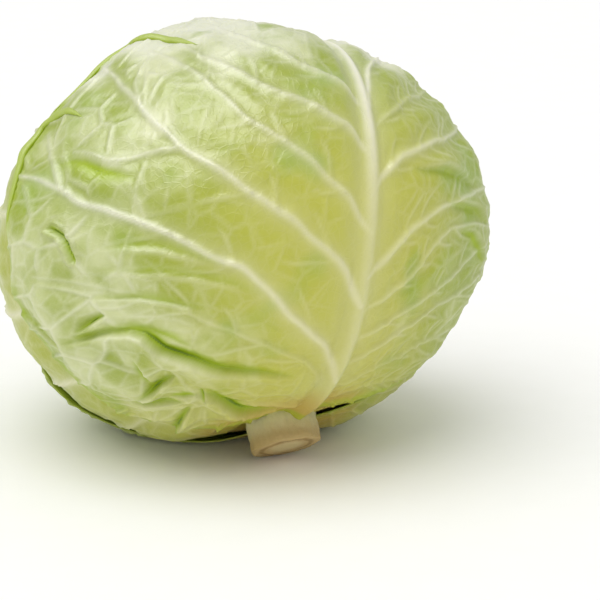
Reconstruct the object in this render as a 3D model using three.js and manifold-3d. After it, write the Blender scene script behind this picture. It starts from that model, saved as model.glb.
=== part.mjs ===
// A whole head of white cabbage, lying with its cut stalk turned down and forwards. The tight inner leaves are
// one solid heart on a tapered stalk. Five broad wrapper leaves lie over it one on another, each a thin blade
// with a midrib and side veins that stand out of its outer face.
// Lengths are in millimetres and angles in degrees. In the head's own axes the stalk points along -Z.
import * as THREE from "three";
import { mergeVertices } from "three/addons/utils/BufferGeometryUtils.js";
import Module from "manifold-3d";

const wasm = await Module();
wasm.setup();

// Driving dimensions of the heart
const heartRadius = 90;
const heartHalfHeight = 77;
const baseDimple = 0.07; // how far the base sinks in round the stalk, as a share of the half height
const dimpleAngle = 22;
const girthBumps = [
  { count: 2, height: 0.012, shift: 0.8 }, // heights are shares of the radius, and shifts are in radians
  { count: 3, height: 0.008, shift: 0.57 },
];

// Driving dimensions of the stalk
const stalkRadius = 14.2;
const stalkEnd = 87.2; // from the head's centre to the cut face, whose rim just meets the table
const stalkTop = 28; // from the head's centre to the top of the stalk inside the heart
const stalkTopRadius = 4;
const stalkStraight = 24; // the length above the cut face that doesn't taper
const stalkBevel = 1.2;
const stalkSides = 24;
const fitGap = 0.4;

// Driving dimensions of the leaves
const bladeThickness = 1.0;
const layerGap = 1.1;
const heartSlack = 0.3; // how much further the heart stays below the first leaf
const coverMargin = 18; // a leaf rises over an edge beneath it within this angle
const exposedMargin = 14; // relief fades out within this angle of a leaf that covers it
const coveredInside = 3; // and is gone this far outside that leaf's edge
const midribHeight = 3.6;
const midribHalfWidth = 3.4;
const midribTipWidth = 0.8;
const midribTaper = 0.72; // the share of its height and width that the midrib loses towards the tip
const ribSupport = 0.8; // the share of a midrib's height that the leaves over it make room for
const ribRoom = 3.2; // how much wider than the midrib that room is
const veinHeight = 2.3;
const veinHalfWidth = 3.6;
const veinTaper = 0.65;
const pillowHeight = 1.3; // how far the blade swells between two side veins
const pillowFlank = 0.35; // the share of that swelling beside a vein
const edgeLift = 3.2;
const edgeLiftWidth = 7;
const edgeRipples = 6;
const leanFrom = -30; // a midrib starts to bend this far from its leaf's centre,
const leanAt = 60; // and a leaf's lean is how far it has bent to the right here
const edgeWaves = [
  { count: 5, height: 1.5 },
  { count: 9, height: 0.9 },
];

// How the head rests: the stalk's direction in the part's frame, the table's distance below the head's
// centre, and where the centre lies, so that the origin is on the table under the middle of the head.
const stalkDirection = new THREE.Vector3(0.22, -0.4945, -0.8408).normalize();
const restDepth = 80;
const flatBlend = 3;
const flatFade = { from: 30, to: 15 }; // relief fades out between these angles from the flat spot's middle
const headCentre = new THREE.Vector3(-2.8, -0.4, restDepth);

// The wrapper leaves, from the innermost to the outermost. azimuth is the side of the head that the midrib
// lies on, and centre the angle from the stalk to the leaf's centre. reach is the angle from that centre to
// the edge towards the tip, then every 45 degrees clockwise seen from outside. veins are, for both sides, the
// share of the midrib at which each vein leaves it, from the tip down. ends and bows are each side's
// directions of the vein's end at the edge and its bend as a share of its length.
const commonVeins = [0.66, 0.52, 0.38, 0.24, 0.12];
const commonSide = { ends: [21, 43, 67, 93, 121], bows: [-0.15, -0.2, -0.18, -0.05, 0.07] };
const commonForm = { veins: commonVeins, right: commonSide, left: commonSide, columns: 9 };
const leaves = [
  {
    name: "wrapper_leaf_1",
    azimuth: 133,
    centre: 100,
    reach: [93, 89, 85, 84, 88, 84, 85, 89],
    lean: 3,
    phase: 0.4,
    ...commonForm,
  },
  {
    name: "wrapper_leaf_2",
    azimuth: -4.5,
    centre: 98,
    reach: [92, 88, 84, 82, 86, 82, 84, 88],
    lean: -4,
    phase: 1.9,
    ...commonForm,
  },
  {
    name: "wrapper_leaf_3",
    azimuth: -142,
    centre: 88,
    reach: [84, 84, 82, 80, 76, 78, 82, 82],
    lean: -5,
    phase: 3.1,
    ...commonForm,
  },
  {
    name: "wrapper_leaf_4",
    azimuth: 80.5,
    centre: 86,
    reach: [82, 84, 84, 80, 74, 78, 82, 84],
    lean: 5,
    phase: 4.7,
    ...commonForm,
  },
  {
    name: "wrapper_leaf_5",
    azimuth: -57.3,
    centre: 80,
    reach: [80, 63, 58, 62, 68, 84, 95, 102],
    lean: 24,
    phase: 5.6,
    veins: [0.61, 0.51, 0.42, 0.27, 0.2, 0.14, 0.08, 0.04],
    right: {
      ends: [27, 50, 68, 83, 92, 104, 122, 142],
      bows: [-0.12, -0.12, -0.1, -0.1, -0.05, 0.04, 0.06, 0.05],
    },
    left: {
      ends: [12, 21, 31, 46, 60, 75, 103, 131],
      bows: [-0.15, -0.2, -0.24, -0.18, -0.05, 0.09, 0.08, 0.05],
    },
    columns: 11,
  },
];
const tipRowStart = 0.8; // the share of the midrib at which the row to the tip begins
const baseRowStart = 0.01;
const baseRowEnd = 160;
const midribColumns = [0, 0.035, 0.08]; // the shares of a row at which its points beside the midrib lie
const bladeStart = 0.15; // and the share from which the rest are spaced evenly out to the edge
const widestFlank = 0.3; // a vein's flank is at most this share of the way to the next vein

const { clamp, degToRad, radToDeg, smoothstep } = THREE.MathUtils;
const turn = new THREE.Quaternion().setFromUnitVectors(new THREE.Vector3(0, 0, -1), stalkDirection);
const down = new THREE.Vector3(0, 0, -1).applyQuaternion(turn.clone().invert());

// The leaf's centre direction, and the directions from there towards its tip and its right
for (const leaf of leaves) {
  const polar = degToRad(leaf.centre);
  const azimuth = degToRad(leaf.azimuth);
  const outward = new THREE.Vector3(Math.cos(azimuth), Math.sin(azimuth), 0);
  const up = new THREE.Vector3(0, 0, 1);
  leaf.middle = outward.clone().multiplyScalar(Math.sin(polar)).addScaledVector(up, -Math.cos(polar));
  leaf.tipward = outward.clone().multiplyScalar(Math.cos(polar)).addScaledVector(up, Math.sin(polar));
  leaf.rightward = up.clone().cross(outward);
}

// A leaf is laid out flat, in degrees of arc from its centre: x from its midrib to the right, y to the tip.
const midribDrift = (leaf, y) => leaf.lean * (Math.max(y - leanFrom, 0) / (leanAt - leanFrom)) ** 2;

function direction(leaf, x, y) {
  const across = x + midribDrift(leaf, y);
  const arc = Math.hypot(across, y);
  if (arc < 1e-9) return leaf.middle.clone();
  const sideways = leaf.rightward.clone().multiplyScalar(across / arc).addScaledVector(leaf.tipward, y / arc);
  const angle = degToRad(arc);
  return sideways.multiplyScalar(Math.sin(angle)).addScaledVector(leaf.middle, Math.cos(angle));
}

function layout(leaf, d) {
  const arc = radToDeg(Math.acos(clamp(d.dot(leaf.middle), -1, 1)));
  const across = d.dot(leaf.rightward);
  const along = d.dot(leaf.tipward);
  const length = Math.hypot(across, along) || 1;
  const y = (arc * along) / length;
  return { x: (arc * across) / length - midribDrift(leaf, y), y };
}

// How close a direction from the leaf's centre, clockwise from the tip, is to its base: 0 to 1
function nearBase(clockwise, from, to) {
  const fromTip = Math.abs((((clockwise % 360) + 540) % 360) - 180);
  return smoothstep(fromTip, from, to);
}

// The angle from the leaf's centre to its edge, in a direction given clockwise from the tip: a smooth curve
// through the leaf's eight reaches, with a gently waved edge.
function reachAt(leaf, clockwise) {
  const step = (((clockwise % 360) + 360) % 360) / 45;
  const i = Math.floor(step);
  const t = step - i;
  const [a, b, c, d] = [-1, 0, 1, 2].map((k) => leaf.reach[(i + k + 8) % 8]);
  const curve = b + 0.5 * t * (c - a + t * (2 * a - 5 * b + 4 * c - d + t * (3 * (b - c) + d - a)));
  let wave = 0;
  edgeWaves.forEach(({ count, height }, k) => {
    wave += height * Math.sin(count * degToRad(clockwise) + (k + 1) * leaf.phase);
  });
  return curve + wave * (1 - nearBase(clockwise, 120, 165));
}

// How far inside its edge a point of the leaf lies, in degrees
const inside = (leaf, x, y) => reachAt(leaf, radToDeg(Math.atan2(x, y))) - Math.hypot(x, y);

// The midrib's ridge, spread times wider than it is
function midrib(leaf, x, y, spread) {
  const share = clamp((y + leaf.reach[4]) / (leaf.reach[4] + leaf.reach[0]), 0, 1);
  const taper = 1 - midribTaper * share;
  const halfWidth = radToDeg((midribHalfWidth * taper + midribTipWidth) / heartRadius) * spread;
  return midribHeight * taper * Math.exp(-((x / halfWidth) ** 2));
}

// Relief fades out on the spot that the head rests on.
const offTheTable = (d) =>
  1 - smoothstep(d.dot(down), Math.cos(degToRad(flatFade.from)), Math.cos(degToRad(flatFade.to)));

// The height at which leaf number i lies, over the leaves beneath it
function layersBelow(i, d) {
  let height = 0;
  for (const leaf of leaves.slice(0, i)) {
    const { x, y } = layout(leaf, d);
    const cover = smoothstep(inside(leaf, x, y), -coverMargin, 0);
    const rib = ribSupport * midrib(leaf, x, y, ribRoom) * offTheTable(d);
    height += cover * (bladeThickness + layerGap + rib);
  }
  return height;
}

// 1 where no later leaf covers leaf number i, and 0 where one does
function exposure(i, d) {
  let share = 1;
  for (const leaf of leaves.slice(i + 1)) {
    const { x, y } = layout(leaf, d);
    share *= 1 - smoothstep(inside(leaf, x, y), -exposedMargin, -coveredInside);
  }
  return share;
}

function smoothMinimum(a, b, blend) {
  const overlap = Math.max(blend - Math.abs(a - b), 0) / blend;
  return Math.min(a, b) - (overlap * overlap * blend) / 4;
}

// The radius of the first leaf's inner face: a flattened ball with a dimple round the stalk and slight bumps,
// drawn in where the head rests so that its outermost face is flat there
function heartRadiusAt(d) {
  const girth = d.x * d.x + d.y * d.y;
  const ball = 1 / Math.sqrt(girth / heartRadius ** 2 + (d.z * d.z) / heartHalfHeight ** 2);
  const polar = radToDeg(Math.acos(clamp(-d.z, -1, 1)));
  const azimuth = Math.atan2(d.y, d.x);
  let shape = 1 - baseDimple * Math.exp(-((polar / dimpleAngle) ** 2));
  for (const { count, height, shift } of girthBumps) {
    shape += height * girth * Math.sin(count * azimuth + shift);
  }
  const towardsTable = d.dot(down);
  if (towardsTable < 0.5) return ball * shape;
  const room = restDepth / towardsTable - layersBelow(leaves.length, d) + layerGap;
  return smoothMinimum(ball * shape, room, flatBlend);
}

// The curve of a side vein on the flat leaf, from a share of the midrib to the edge in the direction end
function veinCurve(leaf, start, end, bow) {
  const y0 = start * (leaf.reach[0] + leaf.reach[4]) - leaf.reach[4];
  const far = reachAt(leaf, end);
  const x2 = far * Math.sin(degToRad(end));
  const y2 = far * Math.cos(degToRad(end));
  const side = end < 0 ? -1 : 1;
  const x1 = x2 / 2 - side * bow * (y2 - y0);
  const y1 = (y0 + y2) / 2 + side * bow * x2;
  return (t) => ({
    x: 2 * t * (1 - t) * x1 + t * t * x2,
    y: (1 - t) ** 2 * y0 + 2 * t * (1 - t) * y1 + t * t * y2,
  });
}

// One side's rows of points, from the tip down: on each vein, on its two flanks, and midway to the next vein.
// A point has its place on the flat leaf, its share t of the way to the edge, and its ridge and swelling.
function bladePoints(leaf, sign) {
  const side = sign < 0 ? leaf.left : leaf.right;
  const starts = [tipRowStart, ...leaf.veins, baseRowStart];
  const ends = [0, ...side.ends, baseRowEnd];
  const bows = [0, ...side.bows, 0];
  const lines = starts.map((start, k) => veinCurve(leaf, start, sign * ends[k], bows[k]));
  const outward = (_, k) => bladeStart + ((1 - bladeStart) * k) / (leaf.columns - 1);
  const shares = [...midribColumns, ...Array.from({ length: leaf.columns }, outward)];
  const rows = [];
  const row = (k, placeBetween, ridge, swell) => {
    const points = shares.map((t) => {
      const a = lines[k](t);
      const b = (lines[k + 1] ?? lines[k])(t);
      const gap = degToRad(Math.hypot(a.x - b.x, a.y - b.y)) * heartRadius;
      const flank = Math.min(widestFlank, (veinHalfWidth * (1 - t / 2)) / Math.max(gap, 1));
      const s = placeBetween(flank);
      return { x: a.x + (b.x - a.x) * s, y: a.y + (b.y - a.y) * s, ridge, swell, t };
    });
    rows.push(points);
  };
  for (let k = 0; k < lines.length - 1; k++) {
    row(k, () => 0, k > 0 ? 1 : 0, 0);
    row(k, (flank) => flank, 0, pillowFlank);
    row(k, () => 0.5, 0, 1);
    row(k, (flank) => 1 - flank, 0, pillowFlank);
  }
  row(lines.length - 1, () => 0, 0, 0);
  return rows;
}

// A point's places on the outer and on the inner face of leaf number i
function bladeFaces(i, leaf, { x, y, ridge, swell, t }) {
  const d = direction(leaf, x, y);
  const shown = exposure(i, d) * offTheTable(d);
  const fromEdge = Math.max(inside(leaf, x, y), 0);
  const clockwise = Math.atan2(x, y);
  const ripple = 0.55 + 0.45 * Math.sin(edgeRipples * clockwise + 3 * leaf.phase);
  const awayFromBase = 1 - nearBase(radToDeg(clockwise), 110, 150);
  const rim = Math.exp(-((fromEdge / edgeLiftWidth) ** 2)) * awayFromBase;
  const low = heartRadiusAt(d) + layersBelow(i, d) + edgeLift * ripple * rim * shown;
  const besideMidrib = smoothstep(Math.abs(x), 1, 7);
  const vein = ridge * veinHeight * (1 - veinTaper * t) * besideMidrib;
  const pillow = swell * pillowHeight * besideMidrib * smoothstep(fromEdge, 0, 12);
  const rib = midrib(leaf, x, y, 1) * (ribSupport * offTheTable(d) + (1 - ribSupport) * shown);
  const high = low + bladeThickness + rib + (vein + pillow) * shown;
  return [d.clone().multiplyScalar(high), d.clone().multiplyScalar(low)];
}

// A leaf's closed surface. Its two sides share the midrib's points and the row to the tip.
function leafGeometry(i, leaf) {
  const points = { left: bladePoints(leaf, -1), right: bladePoints(leaf, 1) };
  const rows = points.left.length;
  const columns = points.left[0].length;
  const vertices = [];
  const number = new Map();
  const id = (side, row, column, face) => {
    const key = `${row === 0 || column === 0 ? "middle" : side} ${row} ${column} ${face}`;
    if (!number.has(key)) {
      number.set(key, vertices.length);
      vertices.push(bladeFaces(i, leaf, points[side][row][column])[face]);
    }
    return number.get(key);
  };
  const faces = [];
  const quad = (turned, a, b, c, d) => {
    if (turned) faces.push([a, d, c], [a, c, b]);
    else faces.push([a, b, c], [a, c, d]);
  };
  for (const side of ["left", "right"]) {
    const mirrored = side === "left";
    for (const face of [0, 1]) {
      for (let r = 0; r < rows - 1; r++) {
        for (let c = 0; c < columns - 1; c++) {
          const corners = [id(side, r, c, face), id(side, r, c + 1, face)];
          corners.push(id(side, r + 1, c + 1, face), id(side, r + 1, c, face));
          quad(mirrored !== (face === 0), ...corners);
        }
      }
    }
    // The rim, down the edge and along the last row back to the midrib
    const rim = [];
    for (let r = 0; r < rows; r++) rim.push([r, columns - 1]);
    for (let c = columns - 2; c >= 0; c--) rim.push([rows - 1, c]);
    for (let k = 0; k < rim.length - 1; k++) {
      const corners = [id(side, ...rim[k], 0), id(side, ...rim[k], 1)];
      corners.push(id(side, ...rim[k + 1], 1), id(side, ...rim[k + 1], 0));
      quad(!mirrored, ...corners);
    }
  }
  const geometry = new THREE.BufferGeometry().setFromPoints(vertices);
  geometry.setIndex(faces.flat());
  return geometryOf(aboveTable(solid(geometry)));
}

function solid(geometry) {
  const bare = geometry.clone();
  bare.deleteAttribute("normal");
  bare.deleteAttribute("uv");
  const merged = mergeVertices(bare, 1e-4);
  return new wasm.Manifold(
    new wasm.Mesh({
      numProp: 3,
      vertProperties: new Float32Array(merged.attributes.position.array),
      triVerts: new Uint32Array(merged.index.array),
    }),
  );
}

function geometryOf(body) {
  const mesh = body.getMesh();
  const geometry = new THREE.BufferGeometry();
  geometry.setAttribute("position", new THREE.BufferAttribute(mesh.vertProperties, mesh.numProp));
  geometry.setIndex(new THREE.BufferAttribute(mesh.triVerts, 1));
  geometry.computeVertexNormals();
  return geometry;
}

// A solid with everything below the table cut off
const aboveTable = (body) => body.trimByPlane([-down.x, -down.y, -down.z], -restDepth);

// The tapered stalk, larger by grow all round
function stalkGeometry(grow) {
  const cutFace = -stalkEnd - 2 * grow;
  const profile = [
    [0, cutFace],
    [stalkRadius - stalkBevel + grow, cutFace],
    [stalkRadius + grow, cutFace + stalkBevel],
    [stalkRadius + grow, stalkStraight - stalkEnd],
    [stalkTopRadius + grow, grow - stalkTop],
    [0, grow - stalkTop],
  ];
  const outline = profile.map(([r, z]) => new THREE.Vector2(r, z));
  return new THREE.LatheGeometry(outline, stalkSides).rotateX(Math.PI / 2);
}

// The heart, with a tapered bore that the stalk fits
function heartGeometry() {
  const ball = new THREE.IcosahedronGeometry(1, 7);
  const position = ball.getAttribute("position");
  const d = new THREE.Vector3();
  for (let i = 0; i < position.count; i++) {
    d.fromBufferAttribute(position, i).normalize();
    d.multiplyScalar(heartRadiusAt(d) - layerGap - heartSlack);
    position.setXYZ(i, d.x, d.y, d.z);
  }
  return geometryOf(solid(ball).subtract(solid(stalkGeometry(fitGap))));
}

const material = (color, roughness) => new THREE.MeshStandardMaterial({ color, roughness, metalness: 0 });
const leafMaterial = material("#b9c985", 0.42);
const heartMaterial = material("#dfe3b0", 0.5);
const stalkMaterial = material("#d9cfa0", 0.7);

const head = new THREE.Group();
head.quaternion.copy(turn);
head.position.copy(headCentre);

function add(name, geometry, finish) {
  const mesh = new THREE.Mesh(geometry, finish);
  mesh.name = name;
  head.add(mesh);
}

add("stalk", geometryOf(aboveTable(solid(stalkGeometry(0)))), stalkMaterial);
add("heart", heartGeometry(), heartMaterial);
leaves.forEach((leaf, i) => add(leaf.name, leafGeometry(i, leaf), leafMaterial));

const cabbage = new THREE.Group();
cabbage.add(head);

export default cabbage;
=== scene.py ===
"""A whole head of white cabbage on a pale floor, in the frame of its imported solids.

Each wrapper leaf is laid out flat, in degrees of arc round its centre, and wrapped over the heart by the
same rules as its solid. The pieces here add what the solids leave out: branching veins, puckers, folds,
crumpled ground, ruffled and rolled edges, and the finish of every surface. The head is worked out in
millimetres, in its own axes with the stalk along -Z, and set down in metres.
"""

from contextlib import contextmanager
from itertools import product

import bpy
import numpy as np
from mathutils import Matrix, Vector


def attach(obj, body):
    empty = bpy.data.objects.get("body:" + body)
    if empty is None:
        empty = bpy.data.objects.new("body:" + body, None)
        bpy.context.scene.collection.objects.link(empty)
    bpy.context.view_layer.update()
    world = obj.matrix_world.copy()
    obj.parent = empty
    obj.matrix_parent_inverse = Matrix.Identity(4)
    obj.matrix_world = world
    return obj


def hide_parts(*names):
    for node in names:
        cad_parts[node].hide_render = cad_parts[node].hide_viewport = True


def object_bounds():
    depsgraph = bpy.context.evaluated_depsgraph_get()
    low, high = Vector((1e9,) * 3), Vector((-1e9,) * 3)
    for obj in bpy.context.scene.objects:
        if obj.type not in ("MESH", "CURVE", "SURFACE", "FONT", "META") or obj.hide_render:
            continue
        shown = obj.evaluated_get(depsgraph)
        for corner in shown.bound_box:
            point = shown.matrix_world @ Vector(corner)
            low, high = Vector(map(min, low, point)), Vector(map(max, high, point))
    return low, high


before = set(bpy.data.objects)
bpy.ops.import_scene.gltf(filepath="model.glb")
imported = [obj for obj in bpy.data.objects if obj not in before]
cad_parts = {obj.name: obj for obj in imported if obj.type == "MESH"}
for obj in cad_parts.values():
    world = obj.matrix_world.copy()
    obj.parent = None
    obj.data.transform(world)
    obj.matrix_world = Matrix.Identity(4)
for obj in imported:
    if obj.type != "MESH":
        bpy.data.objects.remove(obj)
cad_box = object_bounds()

MM = 0.001

# The heart and the stalk, as in the solids
HEART_RADIUS = 90.0
HEART_HALF_HEIGHT = 77.0
BASE_DIMPLE = 0.07
DIMPLE_ANGLE = 22.0
GIRTH_BUMPS = ((2, 0.012, 0.8), (3, 0.008, 0.57))  # count, share of the radius, shift in radians
STALK_RADIUS = 14.2
STALK_END = 87.2
STALK_STRAIGHT = 24.0
STALK_BEVEL = 1.2
STALK_TOP = 28.0
STALK_TOP_RADIUS = 4.0

# The leaves' layers and reliefs, as in the solids
BLADE_THICKNESS = 1.0
LAYER_GAP = 1.1
HEART_SLACK = 0.3
COVER_MARGIN = 18.0
EXPOSED_MARGIN = 14.0
COVERED_INSIDE = 3.0
MIDRIB_HEIGHT = 3.6
MIDRIB_HALF_WIDTH = 3.4
MIDRIB_TIP_WIDTH = 0.8
MIDRIB_TAPER = 0.72
RIB_SUPPORT = 0.8
RIB_ROOM = 3.2
VEIN_HEIGHT = 2.3
VEIN_TAPER = 0.65
PILLOW_HEIGHT = 1.3
EDGE_LIFT = 3.2
EDGE_LIFT_WIDTH = 7.0
EDGE_RIPPLES = 6
LEAN_FROM = -30.0
LEAN_AT = 60.0
EDGE_WAVES = ((5, 1.5), (9, 0.9))  # count, height in degrees
FLAT_BLEND = 3.0
FLAT_FADE = (30.0, 15.0)

# How the head lies
REST_DEPTH = 80.0
HEAD_CENTRE = np.array((-2.8, -0.4, REST_DEPTH))
STALK_DIRECTION = Vector((0.22, -0.4945, -0.8408)).normalized()
TURN = np.array(Vector((0, 0, -1)).rotation_difference(STALK_DIRECTION).to_matrix())
DOWN = TURN.T @ np.array((0.0, 0.0, -1.0))

ARC_MM = np.radians(1) * HEART_RADIUS  # one degree of arc on the heart

# What the pieces here have and the solids don't, in mm
RIB_SINKING = 0.5  # the share of its height that a midrib loses above its base
BASE_STRETCH = 2.6  # degrees that a leaf's base runs on, up to the stalk
RUFFLE_HEIGHT = 1.9
RUFFLE_WIDTH = 4.0
EDGE_THICKNESS = 0.6  # of the blade's own thickness
GREEN_EDGE = 302.0  # where the front leaf's edge is greenest, in degrees clockwise from its tip
TIPWARD = (-60, 80)  # between these heights on the flat leaf a midrib narrows
LINE_STEPS = 24  # points of a vein's line
FRONT_CELLS = (300, 70)  # grid cells across the front leaf's outer face and its inner face
BENEATH_CELLS = (200, 50)  # the same for the leaves beneath it
CRUMPLED_DENSITY = 0.9  # how much closer together the front leaf's cells are where it is crumpled


def smoothstep(value, low, high):
    share = np.clip((value - low) / (high - low), 0, 1)
    return share * share * (3 - 2 * share)


def bell(value, width):
    return np.exp(-((value / width) ** 2))


def bells(shapes, value, width):
    """Bells of several heights, each some widths wide, added up"""
    return sum(height * bell(value, width * wider) for height, wider in shapes)


def through(a, b, c, d, t):
    """A smooth curve from b to c, between a and d"""
    return b + 0.5 * t * (c - a + t * (2 * a - 5 * b + 4 * c - d + t * (3 * (b - c) + d - a)))


def bowed(start, elbow, end, t):
    """A curve from start to end that bows towards elbow"""
    return (1 - t) ** 2 * start + 2 * t * (1 - t) * elbow + t * t * end


def unit(vectors):
    return vectors / np.linalg.norm(vectors, axis=1)[:, None]


def arc_of(length):
    """A length on the heart in mm, in degrees of arc"""
    return np.degrees(length / HEART_RADIUS)


CLOUD_REPEAT = 24  # features after which the clouds repeat


class Clouds:
    """Smooth seeded noise from -1 to 1, for points in mm and features of a size in mm."""

    def __init__(self, seed):
        self.values = np.random.default_rng(seed).uniform(-1, 1, (CLOUD_REPEAT,) * 3)

    def __call__(self, points, feature):
        place = points / feature
        cell = np.floor(place).astype(int)
        share = place - cell
        share = share * share * (3 - 2 * share)
        total = np.zeros(len(points))
        for corner in product((0, 1), repeat=3):
            index = (cell + corner) % CLOUD_REPEAT
            weight = np.prod(np.where(corner, share, 1 - share), axis=1)
            total += weight * self.values[tuple(index.T)]
        return total


swells, puckers, wrinkles, ruffles = map(Clouds, (3, 11, 19, 27))

# Clouds laid over one another, each with its height, its features' size in mm and its shift
BEND_ACROSS = ((puckers, 0.9, 21.0, 0), (puckers, 0.5, 9.0, 50))
BEND_ALONG = ((swells, 0.9, 21.0, 90), (swells, 0.5, 9.0, 0))
LUMPS = ((swells, 1.0, 26.0, 0), (puckers, 0.4, 10.0, 0), (puckers, 0.14, 5.0, 31))
BLOOM_CLOUDS = ((swells, 0.32, 34.0, 13), (puckers, 0.2, 12.0, 3), (puckers, 0.1, 6.0, 60))


def clouded(start, clouds, points):
    return sum((height * kind(points + shift, size) for kind, height, size, shift in clouds), start)


class Leaf:
    """One wrapper leaf: its place on the head, its outline, and its veins on the flat leaf."""

    def __init__(self, name, azimuth, centre, reach, lean, phase, veins, right, left):
        self.name = name
        self.reach = np.array(reach, float)
        self.lean = lean
        self.phase = phase
        self.veins = veins
        self.sides = ((1, *right), (-1, *left))
        polar, azimuth = np.radians((centre, azimuth))
        outward = np.array((np.cos(azimuth), np.sin(azimuth), 0.0))
        up = np.array((0.0, 0.0, 1.0))
        self.middle = outward * np.sin(polar) - up * np.cos(polar)
        self.tipward = outward * np.cos(polar) + up * np.sin(polar)
        self.rightward = np.cross(up, outward)

    def drift(self, y):
        """How far the midrib has bent to the right at a height y"""
        return self.lean * (np.maximum(y - LEAN_FROM, 0) / (LEAN_AT - LEAN_FROM)) ** 2

    def direction(self, x, y):
        """The directions, in the head's axes, of points of the flat leaf"""
        across = x + self.drift(y)
        arc = np.hypot(across, y)
        length = np.maximum(arc, 1e-9)
        sideways = np.outer(across / length, self.rightward) + np.outer(y / length, self.tipward)
        angle = np.radians(arc)[:, None]
        return sideways * np.sin(angle) + self.middle * np.cos(angle)

    def layout(self, d):
        """Where directions fall on the flat leaf"""
        arc = np.degrees(np.arccos(np.clip(d @ self.middle, -1, 1)))
        across, along = d @ self.rightward, d @ self.tipward
        length = np.maximum(np.hypot(across, along), 1e-9)
        y = arc * along / length
        return arc * across / length - self.drift(y), y

    def reach_at(self, clockwise):
        """The angle from the leaf's centre to its edge, clockwise from the tip"""
        step = np.mod(clockwise, 360) / 45
        i = np.floor(step).astype(int)
        t = step - i
        curve = through(*(self.reach[(i + k) % 8] for k in (-1, 0, 1, 2)), t)
        turn = np.radians(clockwise)
        wave = sum(h * np.sin(n * turn + (k + 1) * self.phase) for k, (n, h) in enumerate(EDGE_WAVES))
        return curve + wave * (1 - near_base(clockwise, 120, 165))

    def inside(self, x, y):
        return self.reach_at(np.degrees(np.arctan2(x, y))) - np.hypot(x, y)

    def midrib(self, x, y, spread):
        share = np.clip((y + self.reach[4]) / (self.reach[4] + self.reach[0]), 0, 1)
        taper = 1 - MIDRIB_TAPER * share
        half_width = arc_of(MIDRIB_HALF_WIDTH * taper + MIDRIB_TIP_WIDTH) * spread
        return MIDRIB_HEIGHT * taper * bell(x, half_width)

    def vein_curve(self, start, end, bow, t):
        """Points of a side vein, from a share of the midrib to the edge in a direction"""
        y0 = start * (self.reach[0] + self.reach[4]) - self.reach[4]
        far = self.reach_at(np.array(float(end)))
        x2, y2 = far * np.sin(np.radians(end)), far * np.cos(np.radians(end))
        side = -1 if end < 0 else 1
        x1 = x2 / 2 - side * bow * (y2 - y0)
        y1 = (y0 + y2) / 2 + side * bow * x2
        return np.stack((bowed(0, x1, x2, t), bowed(y0, y1, y2, t)), axis=-1)


def near_base(clockwise, low, high):
    from_tip = np.abs(np.mod(clockwise, 360) - 180)
    return smoothstep(180 - from_tip, low, high)


# The side veins' starts as shares of the midrib, and for each side where they end, how far they bow and
# how strong they are. The front leaf's upper ones are in FRONT_LEFT and FRONT_RIGHT.
COMMON_VEINS = (0.66, 0.52, 0.38, 0.24, 0.12)
COMMON_SIDE = ((21, 43, 67, 93, 121), (-0.15, -0.2, -0.18, -0.05, 0.07), (0.6, 0.8, 0.9, 0.9, 0.7))
COMMON = (COMMON_VEINS, COMMON_SIDE, COMMON_SIDE)
LEAVES = (
    Leaf("wrapper_leaf_1", 133, 100, (93, 89, 85, 84, 88, 84, 85, 89), 3, 0.4, *COMMON),
    Leaf("wrapper_leaf_2", -4.5, 98, (92, 88, 84, 82, 86, 82, 84, 88), -4, 1.9, *COMMON),
    Leaf("wrapper_leaf_3", -142, 88, (84, 84, 82, 80, 76, 78, 82, 82), -5, 3.1, *COMMON),
    Leaf("wrapper_leaf_4", 80.5, 86, (82, 84, 84, 80, 74, 78, 82, 84), 5, 4.7, *COMMON),
    Leaf(
        "wrapper_leaf_5", -57.3, 80, (80, 63, 58, 62, 68, 91, 96, 102), 24, 5.6, (0.2, 0.14, 0.08, 0.04),
        ((92, 104, 122, 142), (-0.05, 0.04, 0.06, 0.05), (0.5, 0.5, 0.4, 0.3)), ((131,), (0.05,), (0.4,)),
    ),
)
FRONT = len(LEAVES) - 1


def off_the_table(d):
    return 1 - smoothstep(d @ DOWN, *np.cos(np.radians(FLAT_FADE)))


def layers_below(number, d):
    height = np.zeros(len(d))
    for leaf in LEAVES[:number]:
        x, y = leaf.layout(d)
        cover = smoothstep(leaf.inside(x, y), -COVER_MARGIN, 0)
        rib = RIB_SUPPORT * leaf.midrib(x, y, RIB_ROOM) * off_the_table(d)
        height += cover * (BLADE_THICKNESS + LAYER_GAP + rib)
    return height


def exposure(number, d):
    share = np.ones(len(d))
    for leaf in LEAVES[number + 1 :]:
        x, y = leaf.layout(d)
        share *= 1 - smoothstep(leaf.inside(x, y), -EXPOSED_MARGIN, -COVERED_INSIDE)
    return share


def from_stalk(d):
    return np.degrees(np.arccos(np.clip(-d[:, 2], -1, 1)))


def heart_radius(d):
    """The radius of the first leaf's inner face"""
    girth = d[:, 0] ** 2 + d[:, 1] ** 2
    ball = 1 / np.sqrt(girth / HEART_RADIUS**2 + d[:, 2] ** 2 / HEART_HALF_HEIGHT**2)
    azimuth = np.arctan2(d[:, 1], d[:, 0])
    shape = 1 - BASE_DIMPLE * bell(from_stalk(d), DIMPLE_ANGLE)
    for count, height, shift in GIRTH_BUMPS:
        shape += height * girth * np.sin(count * azimuth + shift)
    radius = ball * shape
    towards_table = np.maximum(d @ DOWN, 0.5)
    room = REST_DEPTH / towards_table - layers_below(len(LEAVES), d) + LAYER_GAP
    overlap = np.maximum(FLAT_BLEND - np.abs(radius - room), 0) / FLAT_BLEND
    drawn_in = np.minimum(radius, room) - overlap**2 * FLAT_BLEND / 4
    return np.where(d @ DOWN < 0.5, radius, drawn_in)


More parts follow.
